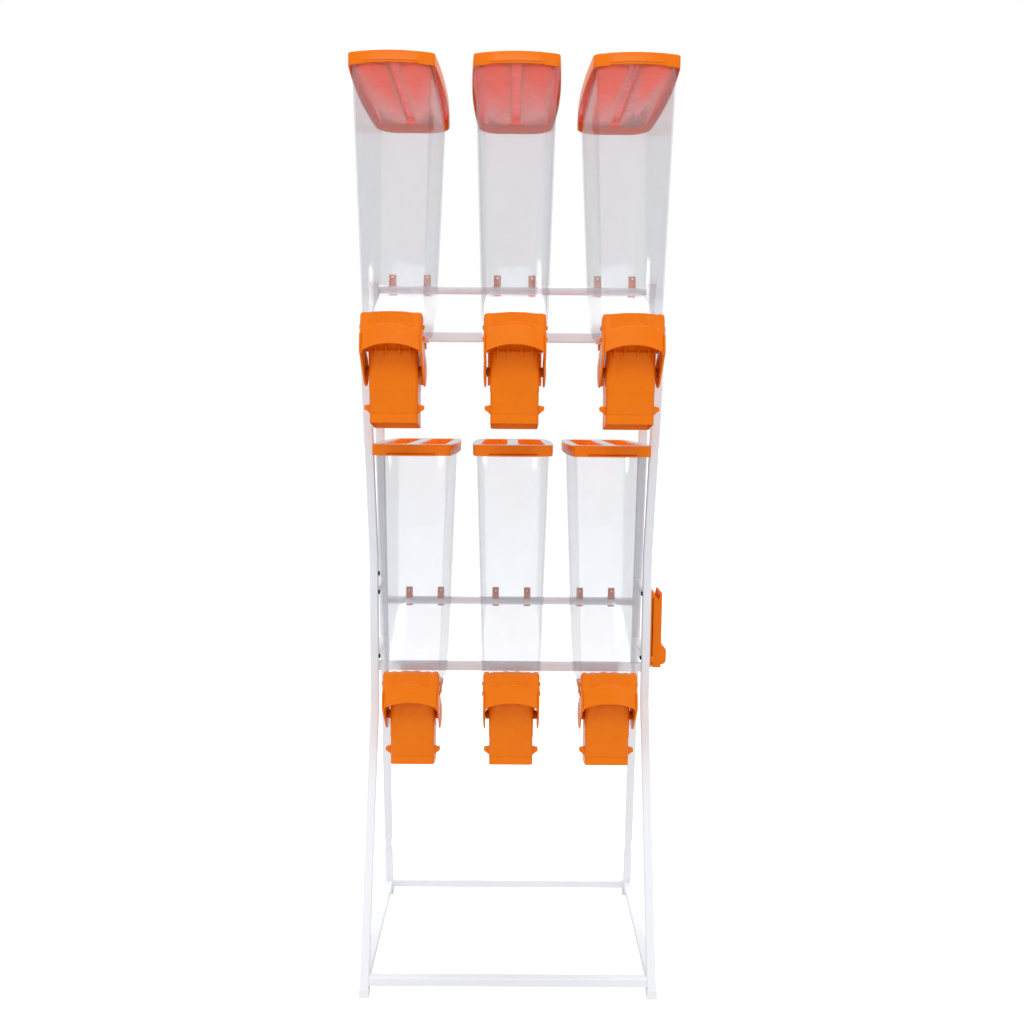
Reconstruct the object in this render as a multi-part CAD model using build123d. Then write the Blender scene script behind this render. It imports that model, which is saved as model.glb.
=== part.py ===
from build123d import *
import math
import os

# All sizes are in millimetres and degrees.
# The frame is +Z up, +X to the right as seen from the front, and the front faces -Y.
# Six gravity dispensers hang in two rows on one tube stand.

# Tube stand
tube_size = 18.0
tube_wall = 1.5
tube_corner = 2.0
stand_width = 600.0
bend_radius = 60.0
end_margin = 40.0

# Front posts, as the tube's centre line in depth (y) and height (z)
front_foot_y = 4.5
front_post_y = 194.0
front_splay_bend_z = 555.0
front_lean_bend_z = 876.0
front_top_y = 86.3
front_top_z = 1335.0
front_leg_joint_z = 572.0

# Rear posts, as the tube's centre line: they pass just in front of both hook bars
rear_foot_y = 419.9
rear_lean_bend_z = 1130.0
rear_top_z = 1442.0
rear_leg_top_z = 120.0
rear_upright_bottom_z = 145.0

# Sleeve joints between legs and uprights
spigot_size = 14.0
spigot_wall = 1.5
spigot_depth = 35.0

# Base frame, rungs and caps
base_bar_z = 28.0
rung_heights = {"low": 653.0, "middle": 793.0, "high": 1290.0}
foot_cap_wall = 1.4
foot_cap_height = 15.0
foot_cap_floor = 3.0
foot_cap_round = 2.5
plug_flange = 2.5
plug_depth = 12.0

# Rows: position of the lid's lower front rim corner line
# The outer dispensers are placed by their distance in from the posts.
upper_row_y = -62.9
upper_row_z = 1781.6
upper_left_in = 65.0
upper_middle_x = 4.0
upper_right_in = 66.5
lower_row_y = 55.1
lower_row_z = 1090.7
lower_outer_in = 85.0
lower_middle_x = 2.5

# Crossbars, from the row reference
hook_bar_gap = 2.0
post_bar_gap = 0.04
hook_bar_h = -349.0
rest_bar_r = 146.0
rest_bar_gap = 0.6

# Lid plan, from the row reference
lid_front_corner_half = 76.5
lid_wide_half = 85.0
lid_back_half = 76.0
lid_front = 2.0
lid_front_bow = 14.0
lid_wide_at = 205.0
lid_depth = 415.0
lid_front_round = 11.0
lid_back_round = 46.0
lid_height = 22.0
lid_wall = 2.5
lid_top_thickness = 3.0
lid_edge_round = 1.6
recess_half_width = 26.5
recess_centre = 38.0
recess_front = 13.0
recess_back = 376.0
recess_depth = 14.0
lip_half_width = 47.0
lip_height = 5.0
lip_reach = 3.5
lip_chamfer = 2.4

# Hopper
hopper_wall = 2.5
hopper_top_h = 18.8
hopper_rim_thickness = 3.0
hopper_lid_gap = 0.8
hopper_bottom_h = -470.0
hopper_bottom_round = 14.0
top_front = 7.0
top_corner_half = 70.5
top_wide_half = 77.5
top_back_half = 68.0
top_wide_at = 205.0
top_back = 405.0
bottom_front = 8.0
bottom_bow = 9.0
bottom_corner_half = 55.0
bottom_wide_half = 63.0
bottom_back_half = 56.0
bottom_wide_at = 165.0
hopper_front_round = 10.0
hopper_back_round_top = 42.0
hopper_back_round_bottom = 30.0
floor_back_r = 298.0
floor_back_h = -349.0
floor_slope = 0.6275
neck_half = 46.0
neck_front = 13.0
neck_back = 78.0
neck_bottom_h = -484.0
neck_round = 6.0
panel_half = 26.0
panel_top_h = -104.0
panel_bottom_h = -307.0
panel_raise = 1.2

# Valve body
flange_half = 58.0
flange_front = 3.0
flange_back = 92.0
flange_top_h = -470.4
flange_thickness = 5.0
flange_round = 8.0
collar_half = 51.0
collar_front = 4.0
collar_back = 84.0
collar_bottom_h = -496.0
valve_wall = 2.5
throat_half = 40.0
throat_front = 12.0
throat_back = 56.0
throat_lip_bottom_h = -504.0
chute_half = 45.0
chute_front = 0.0
chute_back = 72.0
chute_round = 9.0
chute_step = 0.7
chute_step_h = -568.0
mouth_groove_h = -609.0
mouth_groove_width = 1.4
mouth_groove_depth = 0.6
mouth_front_h = -625.0
mouth_back_h = -637.0
rear_plate_bottom_h = -555.0
rib_positions = (-31.0, -12.0, 12.0, 31.0)
rib_width = 2.4
rib_reach = 4.0
rib_height = 18.0
lug_r = 18.0
lug_h = -598.0
lug_reach = 10.0
lug_height = 12.0
lug_depth = 8.0
lug_round = 2.0
knob_r = 48.0
knob_h = -484.0
knob_radius = 6.0
knob_reach = 6.0
neck_gap = 0.5

# Shutter, turning about its hubs
hub_r = 34.0
hub_h = -531.0
hub_radius = 28.0
hub_thickness = 5.0
arm_half_outer = 56.0
arm_thickness = 3.2
visor_wall = 3.0
visor_bow = 9.0
visor_round = 9.0
visor_top_h = -430.0
visor_crease_h = -452.0
visor_bottom_h = -500.0
visor_top_r = -28.0
visor_crease_r = -25.5
visor_bottom_r = -45.0
visor_back_r = 20.0
arm_back_r = -3.0
arm_back_h = -488.0
arch_mid_h = -487.0
arch_side_h = -498.0
shelf_thickness = 3.0
shelf_back_r = -8.0
scallop_pitch = 22.5
scallop_radius = 9.5
scallop_count = 4

# Flow gate inside the chute, on the same pivot
gate_radius = 29.5
gate_wall = 2.5
gate_half = 40.0
gate_half_angle = 48.0
gate_web_round = 8.0
gate_gap = 1.2
shaft_radius = 5.0
shaft_gap = 0.06
shaft_boss_radius = 9.0
boss_half = 51.6

# Clamps on the hook bar
clamp_spread = 36.5
clamp_width = 15.0
clamp_wall = 4.0
clamp_bar_gap = 0.1
clamp_top = 31.0
clamp_strap_end = 6.0
clamp_boss_radius = 7.5
clamp_boss_height = 4.0
clamp_screw_offset = 23.0
screw_radius = 2.0
screw_gap = 0.1
screw_head_radius = 4.2
screw_head_height = 2.4

# Bag holder on the right post
holder_bottom_z = 634.0
holder_top_z = 797.0
holder_plate = 2.5
holder_depth = 64.0
holder_column_in = 5.0
holder_column_out = 23.0
holder_wall = 2.5
holder_band_heights = (652.0, 792.0)
holder_band_size = 14.0
holder_notch_depth = 16.0
holder_cup_out = 34.0
holder_cup_bottom_z = 641.0
holder_cup_top_z = 680.0
post_screw_heights = {"left": (653.0, 793.0, 833.0), "right": (653.0, 793.0)}
post_screw_radius = 2.5
post_screw_head_radius = 4.5
post_screw_head_height = 3.0
post_screw_length = 20.0

# Values that follow from the sizes above
half_tube = tube_size / 2
post_x = stand_width / 2 - half_tube
inner_x = stand_width / 2 - tube_size
upper_row_x = {"left": upper_left_in - inner_x, "middle": upper_middle_x, "right": inner_x - upper_right_in}
lower_row_x = {"left": lower_outer_in - inner_x, "middle": lower_middle_x, "right": inner_x - lower_outer_in}
rows = {
    "upper": (upper_row_y, upper_row_z, upper_row_x),
    "lower": (lower_row_y, lower_row_z, lower_row_x),
}
floor_under_rest_bar = floor_back_h - floor_slope * (floor_back_r - rest_bar_r + half_tube)
rest_bar_h = floor_under_rest_bar - rest_bar_gap - half_tube
wall_slope = (top_back - floor_back_r) / -floor_back_h
wall_angle = math.degrees(math.atan(wall_slope))
bottom_back = top_back + wall_slope * hopper_bottom_h
hook_bar_r = top_back + wall_slope * hook_bar_h + hook_bar_gap + half_tube
far = 2000.0

nodes = {}


def box_between(low, high):
    size = [b - a for a, b in zip(low, high)]
    middle = [(a + b) / 2 for a, b in zip(low, high)]
    return Pos(*middle) * Box(*size)


def rod_along_x(radius, x_from, x_to, y, z):
    middle = (x_from + x_to) / 2
    return Pos(middle, y, z) * Rot(0, 90, 0) * Cylinder(radius, abs(x_to - x_from))


def side_prism(points, x_from, x_to):
    # A flat shape given in depth and height, drawn out along X.
    face = make_face(Polyline(*points, close=True).edges())
    side = Plane(origin=(x_from, 0, 0), x_dir=(0, 1, 0), z_dir=(1, 0, 0))
    return extrude(side * face, amount=x_to - x_from, dir=(1, 0, 0))


def square_profile(size, corner):
    return RectangleRounded(size, size, corner)


def swept_bar(x, points, size, corner):
    # Square bar whose centre line runs through points in depth and height.
    side = Plane(origin=(x, 0, 0), x_dir=(0, 1, 0), z_dir=(1, 0, 0))
    if len(points) > 2:
        line = FilletPolyline(*points, radius=bend_radius)
    else:
        line = Polyline(*points)
    path = side * line
    start = Plane(origin=path @ 0, x_dir=(1, 0, 0), z_dir=path % 0)
    return sweep(start * square_profile(size, corner), path=path)


def swept_tube(x, points, size, wall, corner):
    outer = swept_bar(x, points, size, corner)
    inner = swept_bar(x, points, size - 2 * wall, corner / 2)
    return outer - inner


def slab(z_from, z_to):
    return box_between((-far, -far, z_from), (far, far, z_to))


def at_height(points, z):
    # Depth of a centre line at a height.
    for (y0, z0), (y1, z1) in zip(points, points[1:]):
        if min(z0, z1) <= z <= max(z0, z1):
            return y0 + (y1 - y0) * (z - z0) / (z1 - z0)
    raise ValueError("height is off the line")


def extended(points, margin):
    # The centre line carried on past both of its ends.
    (y0, z0), (y1, z1) = points[0], points[1]
    (y2, z2), (y3, z3) = points[-2], points[-1]
    low = (y0 - (y1 - y0) * margin / (z1 - z0), z0 - margin)
    high = (y3 + (y3 - y2) * margin / (z3 - z2), z3 + margin)
    return [low] + points[1:-1] + [high]


def single(shape):
    solids = shape.solids()
    return max(solids, key=lambda s: s.volume)


def lean_before_bar(start_y, start_z, row):
    # Lean of a tube's centre line from a start to where the tube touches the front of a hook bar.
    row_y, row_z, _ = rows[row]
    rise = row_z + hook_bar_h - start_z
    bar_y = row_y + hook_bar_r
    lean = 0.0
    for _ in range(8):
        lean = (bar_y - (tube_size + post_bar_gap) * math.sqrt(1 + lean**2) - start_y) / rise
    return lean


# Stand tubes
rear_lean_bend_y = rear_foot_y + lean_before_bar(rear_foot_y, 0.0, "lower") * rear_lean_bend_z
rear_top_lean = lean_before_bar(rear_lean_bend_y, rear_lean_bend_z, "upper")
rear_top_y = rear_lean_bend_y + rear_top_lean * (rear_top_z - rear_lean_bend_z)
front_line = [
    (front_foot_y, 0.0),
    (front_post_y, front_splay_bend_z),
    (front_post_y, front_lean_bend_z),
    (front_top_y, front_top_z),
]
rear_line = [
    (rear_foot_y, 0.0),
    (rear_lean_bend_y, rear_lean_bend_z),
    (rear_top_y, rear_top_z),
]
post_lines = {"front": front_line, "rear": rear_line}
sides = {"left": -1, "right": 1}


def leg_and_upright(x, line, leg_top, upright_bottom, top_z):
    long_line = extended(line, end_margin)
    tube = swept_tube(x, long_line, tube_size, tube_wall, tube_corner)
    spigot = swept_tube(x, long_line, spigot_size, spigot_wall, tube_corner)
    leg = tube & slab(foot_cap_floor, leg_top)
    upright = tube & slab(upright_bottom, top_z)
    sleeve = spigot & slab(leg_top - spigot_depth, upright_bottom + spigot_depth)
    return leg, upright, sleeve


def post_parts():
    for side, sign in sides.items():
        x = sign * post_x
        leg, upright, sleeve = leg_and_upright(
            x, front_line, front_leg_joint_z, front_leg_joint_z, front_top_z
        )
        nodes[f"front_leg_{side}"] = join_sleeve(leg, sleeve)
        nodes[f"front_upright_{side}"] = drilled_post(upright, side)
        leg, upright, sleeve = leg_and_upright(
            x, rear_line, rear_leg_top_z, rear_upright_bottom_z, rear_top_z
        )
        nodes[f"rear_leg_{side}"] = join_sleeve(leg, sleeve)
        nodes[f"rear_upright_{side}"] = single(upright)


def join_sleeve(leg, sleeve):
    # The spigot is welded inside the leg on a ring that fills the gap between them.
    low = sleeve.bounding_box().min.Z
    ring_x = (leg.bounding_box().min.X + leg.bounding_box().max.X) / 2
    top = leg.bounding_box().max.Z
    line = front_line if leg.bounding_box().min.Y < front_post_y else rear_line
    filler = swept_bar(ring_x, extended(line, end_margin), tube_size - tube_wall, tube_corner)
    hollow = swept_bar(ring_x, extended(line, end_margin), spigot_size - spigot_wall, tube_corner)
    ring = (filler - hollow) & slab(low, top)
    return single(leg + ring + sleeve)


def drilled_post(upright, side):
    sign = sides[side]
    shape = upright
    for z in post_screw_heights[side]:
        x_to = sign * (inner_x + post_screw_length)
        shape -= rod_along_x(post_screw_radius + screw_gap, sign * (inner_x - 1), x_to, front_post_y, z)
    return single(shape)


def solid_post(kind, side, size=tube_size):
    line = extended(post_lines[kind], end_margin)
    return swept_bar(sides[side] * post_x, line, size, tube_corner)


def straight_tube_y(x, z, y_from, y_to):
    turn = Pos(x, (y_from + y_to) / 2, z) * Rot(90, 0, 0)
    outer = extrude(square_profile(tube_size, tube_corner), amount=(y_to - y_from) / 2, both=True)
    inner_size = tube_size - 2 * tube_wall
    inner = extrude(square_profile(inner_size, tube_corner / 2), amount=(y_to - y_from), both=True)
    return turn * (outer - inner)


def straight_tube_x(y, z, half_length):
    turn = Pos(0, y, z) * Rot(0, 90, 0)
    outer = extrude(square_profile(tube_size, tube_corner), amount=half_length, both=True)
    inner_size = tube_size - 2 * tube_wall
    inner = extrude(square_profile(inner_size, tube_corner / 2), amount=half_length + 1, both=True)
    return turn * (outer - inner)


def side_tubes():
    # Base side bars and side rungs, cut to meet the faces of the sloping posts.
    for side, sign in sides.items():
        front_solid = solid_post("front", side)
        rear_solid = solid_post("rear", side)
        heights = dict(rung_heights)
        heights["base"] = base_bar_z
        for level, z in heights.items():
            y_from = at_height(front_line, z)
            y_to = at_height(rear_line, z)
            bar = straight_tube_y(sign * post_x, z, y_from, y_to)
            bar = single(bar - front_solid - rear_solid)
            name = f"base_bar_{side}" if level == "base" else f"side_rung_{side}_{level}"
            nodes[name] = bar


def base_cross_bars():
    for kind, line in post_lines.items():
        y = at_height(line, base_bar_z)
        nodes[f"base_bar_{kind}"] = single(straight_tube_x(y, base_bar_z, inner_x))


def crossbars():
    for row, (row_y, row_z, _) in rows.items():
        end = stand_width / 2
        centre = (row_y + hook_bar_r, row_z + hook_bar_h)
        outer = rod_along_x(half_tube, -end, end, *centre)
        inner = rod_along_x(half_tube - tube_wall, -end - 1, end + 1, *centre)
        nodes[f"{row}_hook_bar"] = single(outer - inner)
        nodes[f"{row}_rest_bar"] = single(straight_tube_x(row_y + rest_bar_r, row_z + rest_bar_h, inner_x))


def foot_caps():
    caps = []
    outer_size = tube_size + 2 * foot_cap_wall
    for kind, line in post_lines.items():
        long_line = extended(line, end_margin)
        for sign in sides.values():
            x = sign * post_x
            shell = swept_bar(x, long_line, outer_size, foot_cap_round) & slab(0, foot_cap_height)
            bottom = shell.faces().sort_by(Axis.Z)[0]
            shell = fillet(bottom.edges(), foot_cap_wall * 0.9)
            room = swept_bar(x, long_line, tube_size, tube_corner) & slab(foot_cap_floor, far)
            caps.append(single(shell - room))
    nodes["foot_caps"] = Compound(caps)


def end_plugs():
    plugs = []
    inner_size = tube_size - 2 * tube_wall
    for kind, line in post_lines.items():
        top = line[-1][1]
        long_line = extended(line, end_margin)
        for sign in sides.values():
            x = sign * post_x
            head = swept_bar(x, long_line, tube_size, tube_corner) & slab(top, top + plug_flange)
            stem = swept_bar(x, long_line, inner_size, tube_corner / 2) & slab(top - plug_depth, top)
            plugs.append(single(head + stem))
    for row_y, row_z, _ in rows.values():
        y = row_y + hook_bar_r
        z = row_z + hook_bar_h
        for sign in sides.values():
            end = sign * stand_width / 2
            head = rod_along_x(half_tube, end, end + sign * plug_flange, y, z)
            stem = rod_along_x(half_tube - tube_wall, end - sign * plug_depth, end, y, z)
            plugs.append(single(head + stem))
    nodes["end_plugs"] = Compound(plugs)


# Dispenser pieces, built once round the row reference
def plan(front, bow, corner_half, wide_half, wide_at, back_half, back, front_round, back_round):
    edges = [
        ThreePointArc((-corner_half, front), (0, front - bow), (corner_half, front)),
        ThreePointArc((corner_half, front), (wide_half, wide_at), (back_half, back)),
        Line((back_half, back), (-back_half, back)),
        ThreePointArc((-back_half, back), (-wide_half, wide_at), (-corner_half, front)),
    ]
    face = make_face(edges)
    face = fillet(face.vertices().sort_by(Axis.Y)[:2], front_round)
    return fillet(face.vertices().sort_by(Axis.Y)[-2:], back_round)


def lid_plan(inset):
    return plan(
        lid_front + inset,
        lid_front_bow,
        lid_front_corner_half - inset,
        lid_wide_half - inset,
        lid_wide_at,
        lid_back_half - inset,
        lid_depth - inset,
        lid_front_round - inset,
        lid_back_round - inset,
    )


def recess_outline(sign, grow):
    half = recess_half_width + grow
    low = recess_front - grow
    high = recess_back + grow
    shape = Rectangle(2 * half, high - low - 2 * half)
    shape += Pos(0, (high - low) / 2 - half) * Circle(half)
    shape += Pos(0, half - (high - low) / 2) * Circle(half)
    return Pos(sign * recess_centre, (low + high) / 2) * shape


def make_lid():
    body = extrude(lid_plan(0), amount=lid_height)
    top_edges = body.faces().sort_by(Axis.Z)[-1].edges()
    body = fillet(top_edges, lid_edge_round)
    body -= extrude(lid_plan(lid_wall), amount=lid_height - lid_top_thickness)
    for sign in sides.values():
        pocket_floor = lid_height - recess_depth
        outer = Pos(0, 0, pocket_floor - lid_wall) * extrude(
            recess_outline(sign, lid_wall), amount=recess_depth + lid_wall - lid_edge_round
        )
        inner = Pos(0, 0, pocket_floor) * extrude(recess_outline(sign, 0), amount=recess_depth + 1)
        body = body + outer - inner
    return single(body + lid_grip())


def lid_grip():
    # Lip along the foot of the front skirt, with its upper front edge cut back.
    middle = lid_front - lid_front_bow
    end = middle + lid_front_bow * (lip_half_width / lid_front_corner_half) ** 2
    arcs = []
    for offset in (-lip_reach, lid_wall / 2):
        left = (-lip_half_width, end + offset)
        right = (lip_half_width, end + offset)
        arcs.append(ThreePointArc(left, (0, middle + offset), right))
    ends = [Line(arcs[0] @ t, arcs[1] @ t) for t in (0, 1)]
    lip = extrude(make_face(arcs + ends), amount=lip_height)
    top_front = lip.faces().sort_by(Axis.Z)[-1].edges().sort_by(Axis.Y)[0]
    return chamfer(top_front, lip_chamfer)


def hopper_section(h, inset):
    # Outline of the hopper at a height, between its top and bottom sections.
    t = h / hopper_bottom_h

    def between(top, bottom):
        return top + (bottom - top) * t

    face = plan(
        between(top_front, bottom_front) + inset,
        between(lid_front_bow, bottom_bow),
        between(top_corner_half, bottom_corner_half) - inset,
        between(top_wide_half, bottom_wide_half) - inset,
        between(top_wide_at, bottom_wide_at),
        between(top_back_half, bottom_back_half) - inset,
        between(top_back, bottom_back) - inset,
        hopper_front_round - inset,
        between(hopper_back_round_top, hopper_back_round_bottom) - inset,
    )
    return Pos(0, 0, h) * face


def under_floor(drop):
    # Everything below the sloping floor, moved down by drop.
    far_r = floor_back_r + far
    return side_prism(
        [
            (-far, floor_back_h - floor_slope * (floor_back_r + far) - drop),
            (far_r, floor_back_h + floor_slope * far - drop),
            (far_r, -far),
            (-far, -far),
        ],
        -far,
        far,
    )


def neck_outline(inset):
    width = 2 * (neck_half - inset)
    depth = neck_back - neck_front - 2 * inset
    return Pos(0, (neck_front + neck_back) / 2) * RectangleRounded(width, depth, neck_round - inset)


def hopper_envelope(inset):
    top_h = hopper_top_h + (1 if inset else 0)
    bottom_h = hopper_bottom_h + inset
    shape = loft([hopper_section(bottom_h, inset), hopper_section(top_h, inset)], ruled=True)
    # The floor keeps its full wall thickness across the slope.
    rise = inset * math.sqrt(1 + floor_slope**2)
    return shape - under_floor(-rise)


def clamp_screw_places():
    # Screw centres on the outside of the back wall, in depth and height.
    h = hook_bar_h + clamp_screw_offset
    return top_back + wall_slope * h, h


def wall_normal_cylinder(radius, u, r, h, start, length):
    # A cylinder square to the leaning back wall, starting at a distance outside it.
    place = Pos(u, r, h) * Rot(-90 - wall_angle, 0, 0)
    return place * Pos(0, 0, start + length / 2) * Cylinder(radius, length)


def make_hopper():
    outer = hopper_envelope(0)
    bottom = outer.faces().filter_by(lambda f: abs(f.normal_at().Z + 1) < 0.01).sort_by(Axis.Z)[0]
    round_edges = bottom.edges().filter_by(lambda e: abs(e.center().X) > neck_half)
    outer = fillet(round_edges, hopper_bottom_round)
    rim = Pos(0, 0, hopper_top_h - hopper_rim_thickness) * extrude(
        lid_plan(lid_wall + hopper_lid_gap), amount=hopper_rim_thickness
    )
    neck = Pos(0, 0, neck_bottom_h) * extrude(neck_outline(0), amount=hopper_bottom_h - neck_bottom_h + 1)
    body = outer + rim + neck + label_panel() - hopper_envelope(hopper_wall)
    hole = Pos(0, 0, neck_bottom_h - 1) * extrude(
        neck_outline(hopper_wall), amount=hopper_bottom_h - neck_bottom_h + 2 + hopper_wall
    )
    body -= hole
    r, h = clamp_screw_places()
    for sign in sides.values():
        body -= wall_normal_cylinder(screw_radius + screw_gap, sign * clamp_spread, r, h, -8, 16)
    return single(body)


def label_panel():
    # Raised rectangular panel moulded on the outside of the back wall.
    points = [
        (top_back + wall_slope * panel_top_h - hopper_wall / 2, panel_top_h),
        (top_back + wall_slope * panel_top_h + panel_raise, panel_top_h),
        (top_back + wall_slope * panel_bottom_h + panel_raise, panel_bottom_h),
        (top_back + wall_slope * panel_bottom_h - hopper_wall / 2, panel_bottom_h),
    ]
    return side_prism(points, -panel_half, panel_half)


def outline_box(half, front, back, h_from, h_to, corner):
    face = Pos(0, (front + back) / 2, h_from) * RectangleRounded(2 * half, back - front, corner)
    return extrude(face, amount=h_to - h_from)


def make_valve_body():
    flange_bottom = flange_top_h - flange_thickness
    body = outline_box(flange_half, flange_front, flange_back, flange_bottom, flange_top_h, flange_round)
    body += outline_box(collar_half, collar_front, collar_back, collar_bottom_h, flange_bottom, chute_round)
    neck_room = neck_half + neck_gap
    body -= outline_box(
        neck_room,
        neck_front - neck_gap,
        neck_back + neck_gap,
        collar_bottom_h + valve_wall,
        flange_top_h,
        neck_round,
    )
    body += outline_box(chute_half, chute_front, chute_back, chute_step_h, collar_bottom_h + 1, chute_round)
    body += chute_sleeve(chute_step, mouth_back_h, chute_step_h)
    # Front and rear lips that guide the food on to the gate.
    chute_inside = outline_box(
        chute_half - valve_wall,
        chute_front + valve_wall,
        chute_back - valve_wall,
        mouth_back_h - 1,
        collar_bottom_h,
        chute_round - valve_wall,
    )
    lips = outline_box(
        throat_half + valve_wall,
        throat_front - valve_wall,
        throat_back + valve_wall,
        throat_lip_bottom_h,
        collar_bottom_h,
        neck_round,
    )
    body = body - (chute_inside - lips)
    body -= outline_box(
        throat_half,
        throat_front,
        throat_back,
        throat_lip_bottom_h - 1,
        flange_top_h,
        neck_round - valve_wall,
    )
    # The gate turns close under the throat, so the lips are cut away over its width.
    body -= box_between(
        (-chute_half + valve_wall, throat_front, throat_lip_bottom_h - 1),
        (chute_half - valve_wall, throat_back, hub_h + gate_radius + gate_gap),
    )
    body -= mouth_cut()
    groove_top = mouth_groove_h + mouth_groove_width
    groove = chute_sleeve(0, mouth_groove_h, groove_top)
    body -= groove - chute_sleeve(chute_step + mouth_groove_depth, mouth_groove_h, groove_top)
    body += rear_plate()
    for u in rib_positions:
        body += box_between(
            (u - rib_width / 2, chute_front - rib_reach, collar_bottom_h - rib_height / 2),
            (u + rib_width / 2, chute_front + valve_wall / 2, collar_bottom_h + rib_height / 2),
        )
    for sign in sides.values():
        body += side_fittings(sign)
    body -= rod_along_x(shaft_radius + shaft_gap, -boss_half - 1, boss_half + 1, hub_r, hub_h)
    return single(body)


def chute_sleeve(inset, h_from, h_to):
    # The chute's outline drawn in by an inset, between two heights.
    return outline_box(
        chute_half - inset, chute_front + inset, chute_back - inset, h_from, h_to, chute_round - inset
    )


def mouth_cut():
    # The mouth's rim runs lower at the back than at the front.
    slope = (mouth_back_h - mouth_front_h) / (chute_back - chute_front)
    return side_prism(
        [
            (chute_front - 20, mouth_front_h - 20 * slope),
            (chute_back + 1, mouth_back_h + slope),
            (chute_back + 1, mouth_back_h - 20),
            (chute_front - 20, mouth_back_h - 20),
        ],
        -chute_half - 1,
        chute_half + 1,
    )


def rear_plate():
    plate = box_between(
        (-collar_half, collar_back - valve_wall, rear_plate_bottom_h),
        (collar_half, collar_back, collar_bottom_h + valve_wall),
    )
    for u in (-chute_half + valve_wall, chute_half - valve_wall):
        plate += box_between(
            (u - valve_wall / 2, chute_back - valve_wall / 2, rear_plate_bottom_h),
            (u + valve_wall / 2, collar_back - valve_wall / 2, collar_bottom_h + valve_wall),
        )
    return plate


def side_fittings(sign):
    # Shaft boss, round knob and rounded bag lug on one side.
    inner = chute_half - valve_wall
    shape = rod_along_x(shaft_boss_radius, sign * inner, sign * boss_half, hub_r, hub_h)
    knob_root = sign * (collar_half - valve_wall)
    knob_end = sign * (collar_half + knob_reach)
    knob = rod_along_x(knob_radius, knob_root, knob_end, knob_r, knob_h)
    outer_face = knob.faces().sort_by(Axis.X)[-1 if sign > 0 else 0]
    shape += fillet(outer_face.edges(), knob_radius / 3)
    points = [
        (sign * (chute_half - valve_wall / 2), lug_h + lug_height / 2),
        (sign * (chute_half + lug_reach), lug_h + lug_height / 3),
        (sign * (chute_half + lug_reach), lug_h - lug_height / 4),
        (sign * (chute_half + lug_reach / 2), lug_h - lug_height / 2),
        (sign * (chute_half - valve_wall / 2), lug_h - lug_height),
    ]
    face = make_face(Polyline(*points, close=True).edges())
    corners = face.vertices().sort_by(Axis.X)
    face = fillet(corners[-3:] if sign > 0 else corners[:3], lug_round)
    front = Plane(origin=(0, lug_r - lug_depth / 2, 0), x_dir=(1, 0, 0), z_dir=(0, -1, 0))
    shape += extrude(front * face, amount=lug_depth, dir=(0, 1, 0))
    return shape


def visor_section(h, front_mid, inset):
    # U-shaped outline of the visor: a bowed front and straight sides.
    half = arm_half_outer - (arm_thickness if inset else 0)
    front = front_mid + (visor_wall if inset else 0)
    edges = [
        ThreePointArc((-half, front + visor_bow), (0, front), (half, front + visor_bow)),
        Line((half, front + visor_bow), (half, visor_back_r)),
        Line((half, visor_back_r), (-half, visor_back_r)),
        Line((-half, visor_back_r), (-half, front + visor_bow)),
    ]
    face = make_face(edges)
    corner = visor_round - (arm_thickness if inset else 0)
    face = fillet(face.vertices().sort_by(Axis.Y)[:2], corner)
    return Pos(0, 0, h) * face


def visor_envelope(inset):
    top_h = visor_top_h - (shelf_thickness if inset else 0)
    sections = [
        visor_section(visor_bottom_h - (1 if inset else 0), visor_bottom_r, inset),
        visor_section(visor_crease_h, visor_crease_r, inset),
        visor_section(top_h, visor_top_r, inset),
    ]
    return loft(sections, ruled=True)


def make_shutter():
    shell = visor_envelope(0) - visor_envelope(1)
    shell -= box_between((-far, shelf_back_r, visor_top_h - 50), (far, far, visor_top_h + 1)) & box_between(
        (-arm_half_outer + arm_thickness, -far, -far), (arm_half_outer - arm_thickness, far, far)
    )
    # Side arms: the shell's sides are kept only in front of the arm's rear line.
    shell -= side_prism(
        [
            (arm_back_r, visor_top_h + 1),
            (arm_back_r, arm_back_h),
            (visor_back_r + 1, arm_back_h - 8),
            (visor_back_r + 1, visor_top_h + 1),
        ],
        -arm_half_outer - 1,
        arm_half_outer + 1,
    )
    shell -= arch_cut()
    spread = scallop_pitch * (scallop_count - 1)
    for i in range(scallop_count):
        u = -spread / 2 + i * scallop_pitch
        shell -= Pos(u, shelf_back_r + scallop_radius * 0.35, visor_top_h) * Cylinder(
            scallop_radius, 4 * shelf_thickness
        )
    for sign in sides.values():
        shell += hub_arm(sign)
    shell -= rod_along_x(shaft_radius, -flange_half, flange_half, hub_r, hub_h)
    return single(shell)


def arch_cut():
    # The front's lower edge is an arch, lower at the sides than in the middle.
    half = arm_half_outer - arm_thickness - 2
    edges = [
        ThreePointArc((-half, arch_side_h), (0, arch_mid_h), (half, arch_side_h)),
        Line((half, arch_side_h), (half, visor_bottom_h - 20)),
        Line((half, visor_bottom_h - 20), (-half, visor_bottom_h - 20)),
        Line((-half, visor_bottom_h - 20), (-half, arch_side_h)),
    ]
    face = make_face(edges)
    front = Plane(origin=(0, -far / 4, 0), x_dir=(1, 0, 0), z_dir=(0, -1, 0))
    return extrude(front * face, amount=far / 2, dir=(0, 1, 0))


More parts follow.
